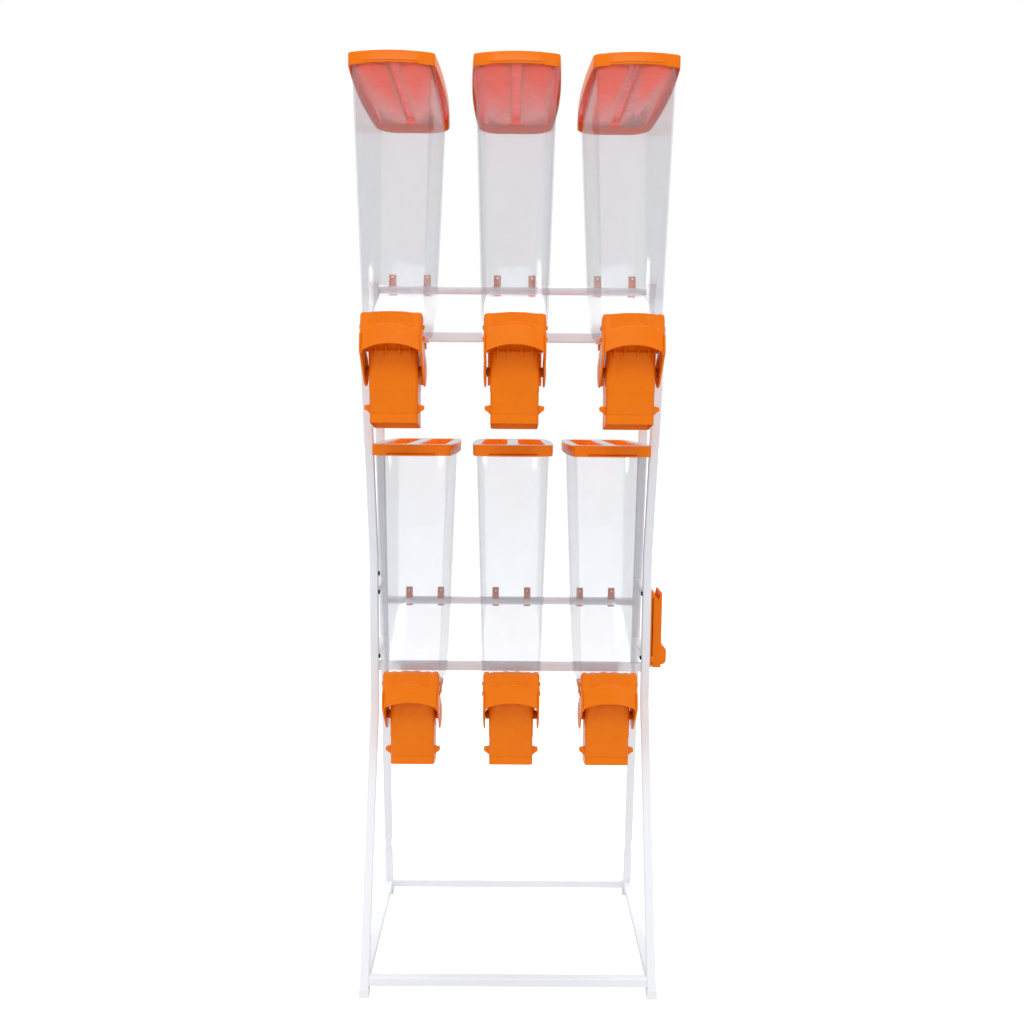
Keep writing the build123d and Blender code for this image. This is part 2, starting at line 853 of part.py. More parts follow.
def hub_arm(sign):
    inner = arm_half_outer - arm_thickness
    low = sign * inner
    high = sign * arm_half_outer
    front = visor_bottom_r + visor_bow + 4
    points = [
        (front + 3, arch_side_h + 14),
        (arm_back_r, arch_side_h + 10),
        (hub_r, hub_h + hub_radius),
        (hub_r - hub_radius * 0.6, hub_h - hub_radius * 0.8),
        (front, arch_side_h - 4),
    ]
    x_from, x_to = sorted((low, high))
    arm = side_prism(points, x_from, x_to)
    disc = rod_along_x(hub_radius, low, sign * (inner + hub_thickness), hub_r, hub_h)
    edge = disc.faces().sort_by(Axis.X)[-1 if sign > 0 else 0].edges()
    return arm + fillet(edge, 1.2)


def make_gate():
    ring = rod_along_x(gate_radius, -gate_half, gate_half, hub_r, hub_h)
    ring -= rod_along_x(gate_radius - gate_wall, -gate_half + gate_wall, gate_half - gate_wall, hub_r, hub_h)
    reach = gate_radius + 10
    half_angle = math.radians(gate_half_angle)
    wedge = side_prism(
        [
            (hub_r, hub_h),
            (hub_r + reach * math.sin(half_angle) * 1.5, hub_h + reach * math.cos(half_angle) * 1.5),
            (hub_r - reach * math.sin(half_angle) * 1.5, hub_h + reach * math.cos(half_angle) * 1.5),
        ],
        -gate_half - 1,
        gate_half + 1,
    )
    gate = ring & wedge
    for sign in sides.values():
        inner = gate_half - gate_wall
        gate += rod_along_x(gate_web_round, sign * inner, sign * gate_half, hub_r, hub_h)
        outer_end = arm_half_outer - arm_thickness + hub_thickness
        gate += rod_along_x(shaft_radius, sign * inner, sign * outer_end, hub_r, hub_h)
    return single(gate)


def make_clamp():
    # Hook over the hook bar, under a strap with a boss on the leaning back wall. It is open below
    # the strap, so the bar lies straight behind the wall there.
    bar = (hook_bar_r, hook_bar_h)

    def on_wall(h, out):
        return top_back + wall_slope * h + out * math.sqrt(1 + wall_slope**2), h

    half = clamp_width / 2
    top_h = hook_bar_h + clamp_top
    bottom_h = hook_bar_h + clamp_strap_end
    strap = side_prism(
        [on_wall(top_h, 0), on_wall(top_h, clamp_wall), on_wall(bottom_h, clamp_wall), on_wall(bottom_h, 0)],
        -half,
        half,
    )
    hook_radius = half_tube + clamp_wall
    hook = rod_along_x(hook_radius, -half, half, *bar)
    hook -= Pos(0, hook_bar_r - hook_radius, bottom_h - hook_radius) * Box(
        clamp_width + 2, 2 * hook_radius, 2 * hook_radius
    )
    hopper_side = side_prism(
        [on_wall(top_h + 20, 0), on_wall(bottom_h - 20, 0), (0, bottom_h - 20), (0, top_h + 20)],
        -half - 1,
        half + 1,
    )
    shape = strap + hook - hopper_side
    r, h = clamp_screw_places()
    shape += wall_normal_cylinder(clamp_boss_radius, 0, r, h, 0, clamp_wall + clamp_boss_height)
    shape -= rod_along_x(half_tube + clamp_bar_gap, -half - 1, half + 1, *bar)
    shape -= wall_normal_cylinder(screw_radius + screw_gap, 0, r, h, -2, 20)
    return single(shape)


def make_clamp_screw():
    r, h = clamp_screw_places()
    shank_end = clamp_wall + clamp_boss_height
    shape = wall_normal_cylinder(screw_radius, 0, r, h, -5, 5 + shank_end)
    shape += wall_normal_cylinder(screw_head_radius, 0, r, h, shank_end, screw_head_height)
    return single(shape)


def dispensers():
    clamps = []
    screws = []
    patterns = {
        "hopper": make_hopper(),
        "lid": make_lid(),
        "valve_body": make_valve_body(),
        "shutter": make_shutter(),
        "flow_gate": make_gate(),
    }
    clamp = make_clamp()
    screw = make_clamp_screw()
    for row, (row_y, row_z, columns) in rows.items():
        for column, x in columns.items():
            place = Location((x, row_y, row_z))
            for piece, shape in patterns.items():
                nodes[f"{row}_{column}_{piece}"] = shape.moved(place)
            for sign in sides.values():
                spot = Location((x + sign * clamp_spread, row_y, row_z))
                clamps.append(clamp.moved(spot))
                screws.append(screw.moved(spot))
    nodes["rear_clamps"] = Compound(clamps)
    nodes["clamp_screws"] = Compound(screws)


def side_holder():
    face_x = stand_width / 2
    y_from = front_post_y - half_tube
    y_to = y_from + holder_depth
    plate = box_between((face_x, y_from, holder_bottom_z), (face_x + holder_plate, y_to, holder_top_z))
    column_in = face_x + holder_column_in
    column_out = face_x + holder_column_out
    column = box_between((column_in, y_from, holder_bottom_z), (column_out, y_to, holder_top_z))
    column -= box_between(
        (column_in + holder_wall, y_from + holder_wall, holder_bottom_z + holder_wall),
        (column_out - holder_wall, y_to - holder_wall, holder_top_z + 1),
    )
    points = [
        (column_in - 1, holder_top_z + 1),
        ((column_in + column_out) / 2 + 2, holder_top_z - holder_notch_depth),
        (column_out - 3, holder_top_z + 1),
    ]
    notch = make_face(Polyline(*points, close=True).edges())
    front = Plane(origin=(0, y_from - 1, 0), x_dir=(1, 0, 0), z_dir=(0, -1, 0))
    column -= extrude(front * notch, amount=holder_depth + 2, dir=(0, 1, 0))
    cup_low = (column_out - 1, y_from, holder_cup_bottom_z)
    cup_high = (face_x + holder_cup_out, y_to, holder_cup_top_z)
    cup = box_between(cup_low, cup_high)
    outer_face = cup.faces().sort_by(Axis.X)[-1]
    round_edges = outer_face.edges().filter_by(Axis.Y)
    cup = fillet(round_edges, holder_cup_out - holder_column_out - 1)
    shape = plate + column + cup
    for z in holder_band_heights:
        shape += box_between(
            (face_x, y_from, z - holder_band_size / 2), (column_in + 1, y_to, z + holder_band_size / 2)
        )
    for z in post_screw_heights["right"]:
        shape -= rod_along_x(post_screw_radius, face_x - 1, inner_x + post_screw_length, front_post_y, z)
    nodes["side_holder"] = single(shape)


def post_screws():
    screws = []
    for side, sign in sides.items():
        for z in post_screw_heights[side]:
            head_in = inner_x - post_screw_head_height
            head = rod_along_x(post_screw_head_radius, sign * head_in, sign * inner_x, front_post_y, z)
            length = post_screw_length if side == "right" else tube_size - tube_wall
            shank = rod_along_x(post_screw_radius, sign * inner_x, sign * (inner_x + length), front_post_y, z)
            screws.append(single(head + shank))
    nodes["post_screws"] = Compound(screws)


def shift_to_origin():
    # The origin goes to the middle of the object's footprint, on the floor.
    boxes = [shape.bounding_box() for shape in nodes.values()]
    x = (min(b.min.X for b in boxes) + max(b.max.X for b in boxes)) / 2
    y = (min(b.min.Y for b in boxes) + max(b.max.Y for b in boxes)) / 2
    return Location((-x, -y, 0))


def export_all():
    os.makedirs("parts", exist_ok=True)
    shift = shift_to_origin()
    print("shift", shift)
    for name, shape in nodes.items():
        placed = shape.moved(shift)
        placed.label = name
        export_step(placed, f"parts/{name}.step")


post_parts()
side_tubes()
base_cross_bars()
crossbars()
foot_caps()
end_plugs()
dispensers()
side_holder()
post_screws()
export_all()
for name, shape in sorted(nodes.items()):
    box = shape.bounding_box()
    print(name, len(shape.solids()), round(shape.volume), [round(v, 1) for v in (*box.min, *box.max)])
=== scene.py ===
# Pet food dispenser stand: six clear bins with orange lids and spouts on one white tube stand.
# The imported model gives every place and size. This file adds the finishes, the moulded detail,
# the studio and the camera. Lengths in the code are metres unless a name ends in mm.
import math

import bmesh
import bpy
from bpy.props import FloatProperty, FloatVectorProperty, PointerProperty, StringProperty
from mathutils import Matrix, Vector


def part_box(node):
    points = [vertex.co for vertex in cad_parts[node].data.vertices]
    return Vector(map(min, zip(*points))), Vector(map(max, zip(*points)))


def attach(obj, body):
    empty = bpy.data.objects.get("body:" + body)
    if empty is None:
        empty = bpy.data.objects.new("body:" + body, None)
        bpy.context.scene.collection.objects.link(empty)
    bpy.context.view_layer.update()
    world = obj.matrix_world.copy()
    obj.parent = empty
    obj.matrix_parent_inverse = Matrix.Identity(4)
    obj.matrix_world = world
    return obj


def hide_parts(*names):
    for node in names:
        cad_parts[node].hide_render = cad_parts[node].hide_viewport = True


bl_info = {
    "name": "Pet food dispenser stand",
    "version": (1, 0, 0),
    "blender": (4, 5, 0),
    "location": "View3D > Sidebar > Dispensers",
    "description": "Finishes and moulded detail for a stand with six gravity dispensers",
    "category": "Object",
}

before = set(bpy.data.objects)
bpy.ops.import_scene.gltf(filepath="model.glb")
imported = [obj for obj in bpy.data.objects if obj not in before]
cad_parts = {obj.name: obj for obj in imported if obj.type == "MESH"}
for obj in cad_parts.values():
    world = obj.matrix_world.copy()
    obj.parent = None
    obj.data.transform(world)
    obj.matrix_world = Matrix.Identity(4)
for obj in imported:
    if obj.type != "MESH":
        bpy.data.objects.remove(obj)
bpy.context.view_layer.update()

MM = 0.001
ROWS = ("upper", "lower")
COLUMNS = ("left", "middle", "right")
UNITS = [f"{row}_{column}" for row in ROWS for column in COLUMNS]
STAND = "stand"
ORANGE = "orange_moulded_polypropylene"
THIN_ORANGE = "orange_thin_moulded_polypropylene"

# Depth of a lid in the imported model, from its front corners to its back edge
LID_DEPTH_MM = 415.0

POLYPROPYLENE_IOR = 1.49

materials = {}


def linear(hex_colour):
    """An sRGB hex colour as linear red, green, blue and alpha."""
    values = []
    for i in (1, 3, 5):
        c = int(hex_colour[i : i + 2], 16) / 255
        values.append(c / 12.92 if c <= 0.04045 else ((c + 0.055) / 1.055) ** 2.4)
    return (*values, 1.0)


def add_node(tree, kind, inputs=None, **settings):
    """One shader node with its settings, and its inputs given as values or as sockets to link."""
    node = tree.nodes.new(kind)
    for name, value in settings.items():
        setattr(node, name, value)
    for name, value in (inputs or {}).items():
        socket = node.inputs[name]
        if isinstance(value, bpy.types.NodeSocket):
            tree.links.new(value, socket)
        else:
            socket.default_value = value
    return node


def new_material(name):
    """An empty node material, its tree and its output node."""
    material = bpy.data.materials.new(name)
    material.use_nodes = True
    material.node_tree.nodes.clear()
    output = add_node(material.node_tree, "ShaderNodeOutputMaterial")
    materials[name] = material
    return material.node_tree, output


def surface_noise(tree, feature_mm, detail=2.0):
    """Noise on the piece's own coordinates, with features about that many millimetres across."""
    place = add_node(tree, "ShaderNodeTexCoord")
    inputs = {"Vector": place.outputs["Object"], "Scale": 1000 / feature_mm, "Detail": detail}
    return add_node(tree, "ShaderNodeTexNoise", inputs)


def ranged(tree, value, low, high):
    """A value from 0 to 1 spread between two others."""
    inputs = {"Value": value, "To Min": low, "To Max": high}
    return add_node(tree, "ShaderNodeMapRange", inputs)


def mixed_shader(tree, share, first, second):
    """Two shaders mixed: share is how much of the second shows."""
    return add_node(tree, "ShaderNodeMixShader", {0: share, 1: first, 2: second})


def powder_coated_steel(colours):
    # Powder-coated steel tube: cured powder flows into a smooth half-gloss white skin with a
    # faint orange peel, which breaks up the highlights along the tubes.
    tree, output = new_material("powder_coated_steel")
    peel = surface_noise(tree, 3.0)
    bump = add_node(
        tree, "ShaderNodeBump", {"Height": peel.outputs["Fac"], "Strength": 0.05, "Distance": 0.0002}
    )
    patches = surface_noise(tree, 90.0)
    rough = ranged(tree, patches.outputs["Fac"], 0.28, 0.42)
    shader = add_node(
        tree,
        "ShaderNodeBsdfPrincipled",
        {
            "Base Color": linear(colours.steel),
            "Roughness": rough.outputs["Result"],
            "Normal": bump.outputs["Normal"],
            "IOR": 1.5,
        },
    )
    tree.links.new(shader.outputs["BSDF"], output.inputs["Surface"])


def orange_moulded_plastic(colours, name, let_through, sheen):
    """let_through is the share of light that each face passes, sheen the gain of the glancing gloss."""
    # Injection-moulded polypropylene, coloured through: a glossy mould face with very shallow
    # flow waves, slightly duller where the mould was worn. It is not quite opaque: light that
    # comes through a wall turns red, most of all in the thin plates of the lids.
    tree, output = new_material(name)
    flow = surface_noise(tree, 38.0, 1.0)
    bump = add_node(
        tree, "ShaderNodeBump", {"Height": flow.outputs["Fac"], "Strength": 0.08, "Distance": 0.002}
    )
    worn = surface_noise(tree, 22.0, 3.0)
    rough = ranged(tree, worn.outputs["Fac"], 0.2, 0.34)
    shades = add_node(
        tree,
        "ShaderNodeMix",
        {"Factor": flow.outputs["Fac"], "A": linear(colours.orange), "B": linear(colours.orange_deep)},
        data_type="RGBA",
    )
    shader = add_node(
        tree,
        "ShaderNodeBsdfPrincipled",
        {
            "Base Color": shades.outputs["Result"],
            "Roughness": rough.outputs["Result"],
            "Normal": bump.outputs["Normal"],
            "IOR": POLYPROPYLENE_IOR,
            "Specular IOR Level": 0.18,
        },
    )
    through = add_node(tree, "ShaderNodeBsdfTranslucent", {"Color": linear(colours.orange_glow)})
    wall = mixed_shader(tree, let_through, shader.outputs["BSDF"], through.outputs["BSDF"])
    # At a glancing angle the skin mirrors the pale room.
    edge = add_node(tree, "ShaderNodeFresnel", {"IOR": POLYPROPYLENE_IOR})
    rise = add_node(tree, "ShaderNodeMath", {0: edge.outputs["Fac"], 1: 0.15}, operation="SUBTRACT")
    share = add_node(
        tree,
        "ShaderNodeMath",
        {0: rise.outputs["Value"], 1: sheen},
        operation="MULTIPLY",
        use_clamp=True,
    )
    gloss = add_node(tree, "ShaderNodeBsdfGlossy", {"Roughness": 0.2})
    skin = mixed_shader(tree, share.outputs["Value"], wall.outputs["Shader"], gloss.outputs["BSDF"])
    tree.links.new(skin.outputs["Shader"], output.inputs["Surface"])


def clear_moulded_plastic(colours):
    # Natural clear polypropylene, injection moulded: it lets most light straight through, is a
    # little milky, and mirrors the lights at a glancing angle.
    tree, output = new_material("clear_moulded_polypropylene")
    see_through = add_node(tree, "ShaderNodeBsdfTransparent", {"Color": linear(colours.clear)})
    ripple = surface_noise(tree, 45.0, 1.0)
    bump = add_node(
        tree, "ShaderNodeBump", {"Height": ripple.outputs["Fac"], "Strength": 0.04, "Distance": 0.002}
    )
    gloss = add_node(
        tree, "ShaderNodeBsdfGlossy", {"Roughness": 0.06, "Normal": bump.outputs["Normal"]}
    )
    # The inner face of a wall mirrors no more than its outer face.
    side = add_node(tree, "ShaderNodeNewGeometry")
    index = ranged(tree, side.outputs["Backfacing"], POLYPROPYLENE_IOR, 1 / POLYPROPYLENE_IOR)
    edge = add_node(tree, "ShaderNodeFresnel", {"IOR": index.outputs["Result"]})
    # The gloss is held back where the walls turn away, so that they stay clear there.
    dulled = add_node(tree, "ShaderNodeMath", {0: edge.outputs["Fac"], 1: 0.2}, operation="MINIMUM")
    polished = mixed_shader(
        tree, dulled.outputs["Value"], see_through.outputs["BSDF"], gloss.outputs["BSDF"]
    )
    milk = add_node(tree, "ShaderNodeBsdfDiffuse", {"Color": linear(colours.milk)})
    lit_behind = add_node(tree, "ShaderNodeBsdfTranslucent", {"Color": linear(colours.milk)})
    milky = mixed_shader(tree, 0.5, milk.outputs["BSDF"], lit_behind.outputs["BSDF"])
    haze = surface_noise(tree, 60.0)
    share = ranged(tree, haze.outputs["Fac"], 0.055, 0.085)
    wall = mixed_shader(tree, share.outputs["Result"], polished.outputs["Shader"], milky.outputs["Shader"])
    tree.links.new(wall.outputs["Shader"], output.inputs["Surface"])


def small_parts_finishes(colours):
    # Zinc-plated steel screw: bright, slightly brushed by the driver and faintly blue.
    tree, output = new_material("zinc_plated_steel")
    marks = surface_noise(tree, 1.2)
    rough = ranged(tree, marks.outputs["Fac"], 0.25, 0.45)
    shader = add_node(
        tree,
        "ShaderNodeBsdfPrincipled",
        {"Base Color": linear("#C9CDD2"), "Metallic": 1.0, "Roughness": rough.outputs["Result"]},
    )
    tree.links.new(shader.outputs["BSDF"], output.inputs["Surface"])
    # Black oxide steel screw: near black and half matt, with a thin oily gloss.
    tree, output = new_material("black_oxide_steel")
    marks = surface_noise(tree, 1.5)
    rough = ranged(tree, marks.outputs["Fac"], 0.35, 0.55)
    shader = add_node(
        tree,
        "ShaderNodeBsdfPrincipled",
        {"Base Color": linear("#26262A"), "Metallic": 1.0, "Roughness": rough.outputs["Result"]},
    )
    tree.links.new(shader.outputs["BSDF"], output.inputs["Surface"])
    # White moulded polyethylene caps and plugs: waxy, softer and duller than the powder coat.
    tree, output = new_material("white_moulded_polyethylene")
    grain = surface_noise(tree, 2.0)
    bump = add_node(
        tree, "ShaderNodeBump", {"Height": grain.outputs["Fac"], "Strength": 0.08, "Distance": 0.0002}
    )
    shader = add_node(
        tree,
        "ShaderNodeBsdfPrincipled",
        {
            "Base Color": linear(colours.cap),
            "Roughness": 0.5,
            "Normal": bump.outputs["Normal"],
            "IOR": 1.51,
        },
    )
    tree.links.new(shader.outputs["BSDF"], output.inputs["Surface"])


def finish_node(node, material_name):
    """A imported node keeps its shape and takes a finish."""
    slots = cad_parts[node].data.materials
    slots.clear()
    slots.append(materials[material_name])


def unit_place(unit):
    """Takes millimetres from a dispenser's own reference, at its lid's lower front, to the row frame."""
    low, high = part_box(f"{unit}_lid")
    origin = Vector(((low.x + high.x) / 2, high.y - LID_DEPTH_MM * MM, low.z))
    return Matrix.Translation(origin) @ Matrix.Scale(MM, 4)


def add_piece(name, bm, material_name, body, replaced=(), flat_material=None):
    """A finished bmesh as an object at the origin that rides on a body.

    Faces that look up or down take the flat material, where one is named.
    """
    mesh = bpy.data.meshes.new(name)
    bm.to_mesh(mesh)
    bm.free()
    mesh.shade_smooth()
    mesh.set_sharp_from_angle(angle=math.radians(40))
    piece = bpy.data.objects.new(name, mesh)
    bpy.context.scene.collection.objects.link(piece)
    mesh.materials.append(materials[material_name])
    if flat_material:
        mesh.materials.append(materials[flat_material])
        for face in mesh.polygons:
            face.material_index = 1 if abs(face.normal.z) > 0.6 else 0
    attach(piece, body)
    if replaced:
        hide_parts(*replaced)


def softened(node, radius_mm):
    """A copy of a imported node's mesh, its flat faces made whole and its sharp edges rounded off."""
    bm = bmesh.new()
    bm.from_mesh(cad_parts[node].data)
    bmesh.ops.remove_doubles(bm, verts=bm.verts, dist=0.02 * MM)
    bmesh.ops.dissolve_limit(bm, angle_limit=math.radians(0.5), verts=bm.verts, edges=bm.edges)
    sharp = [e for e in bm.edges if e.is_manifold and e.calc_face_angle() > math.radians(45)]
    bmesh.ops.bevel(
        bm,
        geom=sharp,
        offset=radius_mm * MM,
        segments=2,
        profile=0.5,
        affect="EDGES",
        material=-1,
        clamp_overlap=True,
    )
    return bm


def smooth(t):
    """0 below 0, 1 above 1, and an even rise between."""
    t = min(max(t, 0.0), 1.0)
    return t * t * (3 - 2 * t)


def curved_sheet(across, along, shape):
    """A grid of faces laid on a surface: shape takes two values from 0 to 1 and gives a point in mm."""
    bm = bmesh.new()
    bmesh.ops.create_grid(bm, x_segments=across, y_segments=along, size=0.5)
    for vertex in bm.verts:
        vertex.co = Vector(shape(vertex.co.x + 0.5, vertex.co.y + 0.5))
    bm.normal_update()
    return bm


def thickened(bm, thickness_mm):
    """The sheet as a closed wall, thickened away from its outer face."""
    bmesh.ops.solidify(bm, geom=bm.faces, thickness=thickness_mm)
    bmesh.ops.recalc_face_normals(bm, faces=bm.faces)
    return bm


def joined(parts):
    """Several bmeshes in one."""
    whole = bmesh.new()
    for part in parts:
        mesh = bpy.data.meshes.new("part")
        part.to_mesh(mesh)
        part.free()
        whole.from_mesh(mesh)
        bpy.data.meshes.remove(mesh)
    return whole


def hull_plate(points, half_thickness_mm, bevel_mm):
    """A flat plate with rounded rims round points given in depth and height, centred on X = 0."""
    bm = bmesh.new()
    for x in (-half_thickness_mm, half_thickness_mm):
        for r, h in points:
            bm.verts.new((x, r, h))
    hull = bmesh.ops.convex_hull(bm, input=bm.verts)
    loose = {v for v in hull["geom_interior"] + hull["geom_unused"] if isinstance(v, bmesh.types.BMVert)}
    bmesh.ops.delete(bm, geom=list(loose), context="VERTS")
    bmesh.ops.dissolve_limit(bm, angle_limit=math.radians(1), verts=bm.verts, edges=bm.edges)
    rims = [e for e in bm.edges if e.calc_face_angle(0) > math.radians(60)]
    bmesh.ops.bevel(
        bm, geom=rims, offset=bevel_mm, segments=3, profile=0.5, affect="EDGES", material=-1
    )
    bmesh.ops.recalc_face_normals(bm, faces=bm.faces)
    return bm


def turned(profile, segments=48):
    """A closed shape spun round the X axis from points given as (x, radius)."""
    bm = bmesh.new()
    points = [bm.verts.new((x, 0, radius)) for x, radius in profile]
    edges = [bm.edges.new(pair) for pair in zip(points, points[1:])]
    bmesh.ops.spin(
        bm,
        geom=points + edges,
        cent=(0, 0, 0),
        axis=(1, 0, 0),
        angle=math.tau,
        steps=segments,
        use_merge=True,
    )
    bmesh.ops.remove_doubles(bm, verts=bm.verts, dist=1e-4)
    bmesh.ops.recalc_face_normals(bm, faces=bm.faces)
    return bm


def moved(bm, offset):
    """The same shape somewhere else."""
    bmesh.ops.translate(bm, verts=bm.verts, vec=Vector(offset))
    return bm


def mirrored(bm):
    """The same shape on the other side of X = 0, facing outwards."""
    copy = bm.copy()
    bmesh.ops.scale(copy, verts=copy.verts, vec=(-1, 1, 1))
    bmesh.ops.reverse_faces(copy, faces=copy.faces)
    return copy


# The hood in front of a spout, in millimetres from the dispenser's reference: u runs across it
# from its middle, R is depth, forwards negative, and H is height.
HOOD_HALF = 56.0
HOOD_CORNER = 9.0
HOOD_FLAT = HOOD_HALF - HOOD_CORNER
HOOD_BOW = 9.0
HOOD_WALL = 3.0
HOOD_TOP = -427.6
HOOD_FOOT = -500.0
HOOD_TOP_R = -29.0
HOOD_FOOT_R = -45.0
HOOD_BACK_R = -3.0
RIDGE_H = -447.5
RIDGE_DROOP = 17.0
ARCH_H = -484.5
ARCH_DROOP = 12.0
EAR_U = 48.0
EAR_RISE = 1.5
END_ROUND = 5.5
SCALLOP_PITCH = 22.5
SCALLOP_DEPTH = 6.5
SHELF_BACK_R = -8.0
HUB_R = 34.0
HUB_H = -531.0
HUB_RADIUS = 28.0
ARM_CENTRE = HOOD_HALF - 1.7
ARM_HALF_THICKNESS = 1.6
CAP_BASE = HOOD_HALF - 3.4
CAP_PROFILE = [(0, 0), (0, 27.0), (1.6, 27.8), (3.6, 25.0), (4.6, 19.0), (5.2, 9.0), (5.3, 0)]
BUMP_HEIGHTS = (-454.0, -474.0)
BUMP_R = -9.0


def crease_height(u):
    """Height of the hood's ridge, which droops towards the sides."""
    return RIDGE_H - RIDGE_DROOP * (abs(u) / 52.0) ** 2.4


def hood_front(u, h):
    """Depth of the hood's outer face: drawn in above the ridge, between two upright ears."""
    lean = (HOOD_TOP - h) / (HOOD_TOP - HOOD_FOOT)
    face = HOOD_TOP_R + (HOOD_FOOT_R - HOOD_TOP_R) * lean + HOOD_BOW * (u / HOOD_HALF) ** 2
    between_ears = 1 - smooth((abs(u) - 33.0) / 13.0)
    above_ridge = smooth((h - crease_height(u) + 2.5) / 5.5)
    drawn_in = 1.2 + 4.2 * min((HOOD_TOP - h) / 20.0, 1.0)
    return face + drawn_in * between_ears * above_ridge


def hood_foot(u):
    """Height of the hood's lower edge: an arch between the arms."""
    arch = ARCH_H - ARCH_DROOP * (abs(u) / 51.0) ** 2.2
    return arch + (HOOD_FOOT - 1.5 - arch) * smooth((abs(u) - 49.5) / 4.0)


def hood_top(u):
    """Height of the hood's upper edge: a slight arch between two rounded ears."""
    ears = EAR_RISE * math.exp(-(((abs(u) - EAR_U) / 4.5) ** 2))
    past_flat = min(max((abs(u) - (HOOD_HALF - END_ROUND)) / END_ROUND, 0.0), 1.0)
    round_end = 4.5 * (1 - math.sqrt(1 - past_flat**2))
    return HOOD_TOP - 2.6 * (abs(u) / 44.0) ** 2 + ears - round_end


def hood_point(s, t):
    """s runs from the left arm round the front to the right arm, t from foot to top."""
    side = 1 if s >= 0.5 else -1
    run = abs(s - 0.5) * 2
    front_share, corner_share = 0.66, 0.84
    if run <= front_share:
        u = HOOD_FLAT * run / front_share
        h = hood_foot(u) + (hood_top(u) - hood_foot(u)) * t
        return (side * u, hood_front(u, h), h)
    if run <= corner_share:
        turn = (run - front_share) / (corner_share - front_share) * math.pi / 2
        u = HOOD_FLAT + HOOD_CORNER * math.sin(turn)
        h = hood_foot(u) + (hood_top(u) - hood_foot(u)) * t
        return (side * u, hood_front(HOOD_FLAT, h) + HOOD_CORNER * (1 - math.cos(turn)), h)
    back = (run - corner_share) / (1 - corner_share)
    h = hood_foot(HOOD_HALF) + (hood_top(HOOD_HALF) - hood_foot(HOOD_HALF)) * t
    start = hood_front(HOOD_FLAT, h) + HOOD_CORNER
    return (side * HOOD_HALF, start + (HOOD_BACK_R - start) * back, h)


def shelf_point(s, t):
    """The hood's top plate, from its front edge to the row of finger scallops."""
    u = (s - 0.5) * 2 * (HOOD_HALF - 2.0)
    back = SHELF_BACK_R
    if abs(u) < 2 * SCALLOP_PITCH:
        back -= SCALLOP_DEPTH * abs(math.cos(math.pi * u / SCALLOP_PITCH)) ** 1.5
    into_corner = max(abs(u) - HOOD_FLAT, 0.0) / HOOD_CORNER
    corner = HOOD_CORNER * (1 - math.sqrt(1 - into_corner**2))
    front = hood_front(min(abs(u), HOOD_FLAT), hood_top(u)) + corner + 0.6
    return (u, front + (back - front) * t, hood_top(min(abs(u), 50.0)) - 0.4)


def make_hood():
    """The hood with its top plate, its two arms round the hubs, their caps and side bumps."""
    shell = thickened(curved_sheet(150, 46, hood_point), HOOD_WALL)
    shelf = thickened(curved_sheet(144, 8, shelf_point), HOOD_WALL)
    disc = [
        (HUB_R + HUB_RADIUS * math.cos(a), HUB_H + HUB_RADIUS * math.sin(a))
        for a in [math.tau * i / 40 for i in range(40)]
    ]
    arm = [(-33.0, -466.0), (HOOD_BACK_R, -470.0), (-38.0, -497.0), (-33.0, -502.0)]
    plate = moved(hull_plate(disc + arm, ARM_HALF_THICKNESS, 1.0), (ARM_CENTRE, 0, 0))
    cap = moved(turned(CAP_PROFILE), (CAP_BASE, HUB_R, HUB_H))
    bump = [(-3, -4), (3, -4), (3, 4), (-3, 4)]
    bumps = [moved(hull_plate(bump, 1.8, 1.5), (HOOD_HALF + 0.8, BUMP_R, h)) for h in BUMP_HEIGHTS]
    side = joined([plate, cap, *bumps])
    return joined([shell, shelf, mirrored(side), side])


class DispenserColours(bpy.types.PropertyGroup):
    """Colours as sRGB hex values."""

    orange: StringProperty(name="Orange", description="Lids, spouts and clamps", default="#F88006")
    orange_deep: StringProperty(
        name="Deep orange", description="The same plastic where it flowed last", default="#F47A04"
    )
    orange_glow: StringProperty(
        name="Glow", description="Light that has come through the orange plastic", default="#FF4A02"
    )
    steel: StringProperty(name="Steel", description="Powder coat on the tubes", default="#F0F3F8")
    clear: StringProperty(
        name="Clear", description="Tint of light through a bin wall", default="#F9FAFB"
    )
    milk: StringProperty(name="Milk", description="Milkiness of a bin wall", default="#E8E8EE")
    cap: StringProperty(name="Cap", description="Foot caps and tube plugs", default="#ECEEF0")
    floor: StringProperty(name="Floor", description="Studio floor", default="#E8E8E8")


class StageSettings(bpy.types.PropertyGroup):
    """Camera and light."""

    camera_place: FloatVectorProperty(
        name="Camera place",
        description="Where the camera stands",
        default=(-0.02092, -1.98884, 1.18036),
        subtype="TRANSLATION",
        unit="LENGTH",
    )
    camera_yaw: FloatProperty(
        name="Camera yaw", description="Turn to the right", default=0.003507, unit="ROTATION"
    )
    camera_pitch: FloatProperty(
        name="Camera pitch", description="Tilt down", default=0.10666, unit="ROTATION"
    )
    camera_roll: FloatProperty(
        name="Camera roll", description="Picture turned clockwise", default=0.007497, unit="ROTATION"
    )
    lens: FloatProperty(name="Lens", description="Focal length in mm", default=33.4, unit="CAMERA")
    world_strength: FloatProperty(
        name="World", description="Strength of the white room's light", default=0.8
    )
    top_power: FloatProperty(name="Top", description="Softbox overhead", default=42.0, unit="POWER")
    front_power: FloatProperty(
        name="Front", description="High softbox in front", default=52.0, unit="POWER"
    )
    side_glow: FloatProperty(
        name="Sides", description="Brightness of the small softboxes at the sides", default=9.0
    )


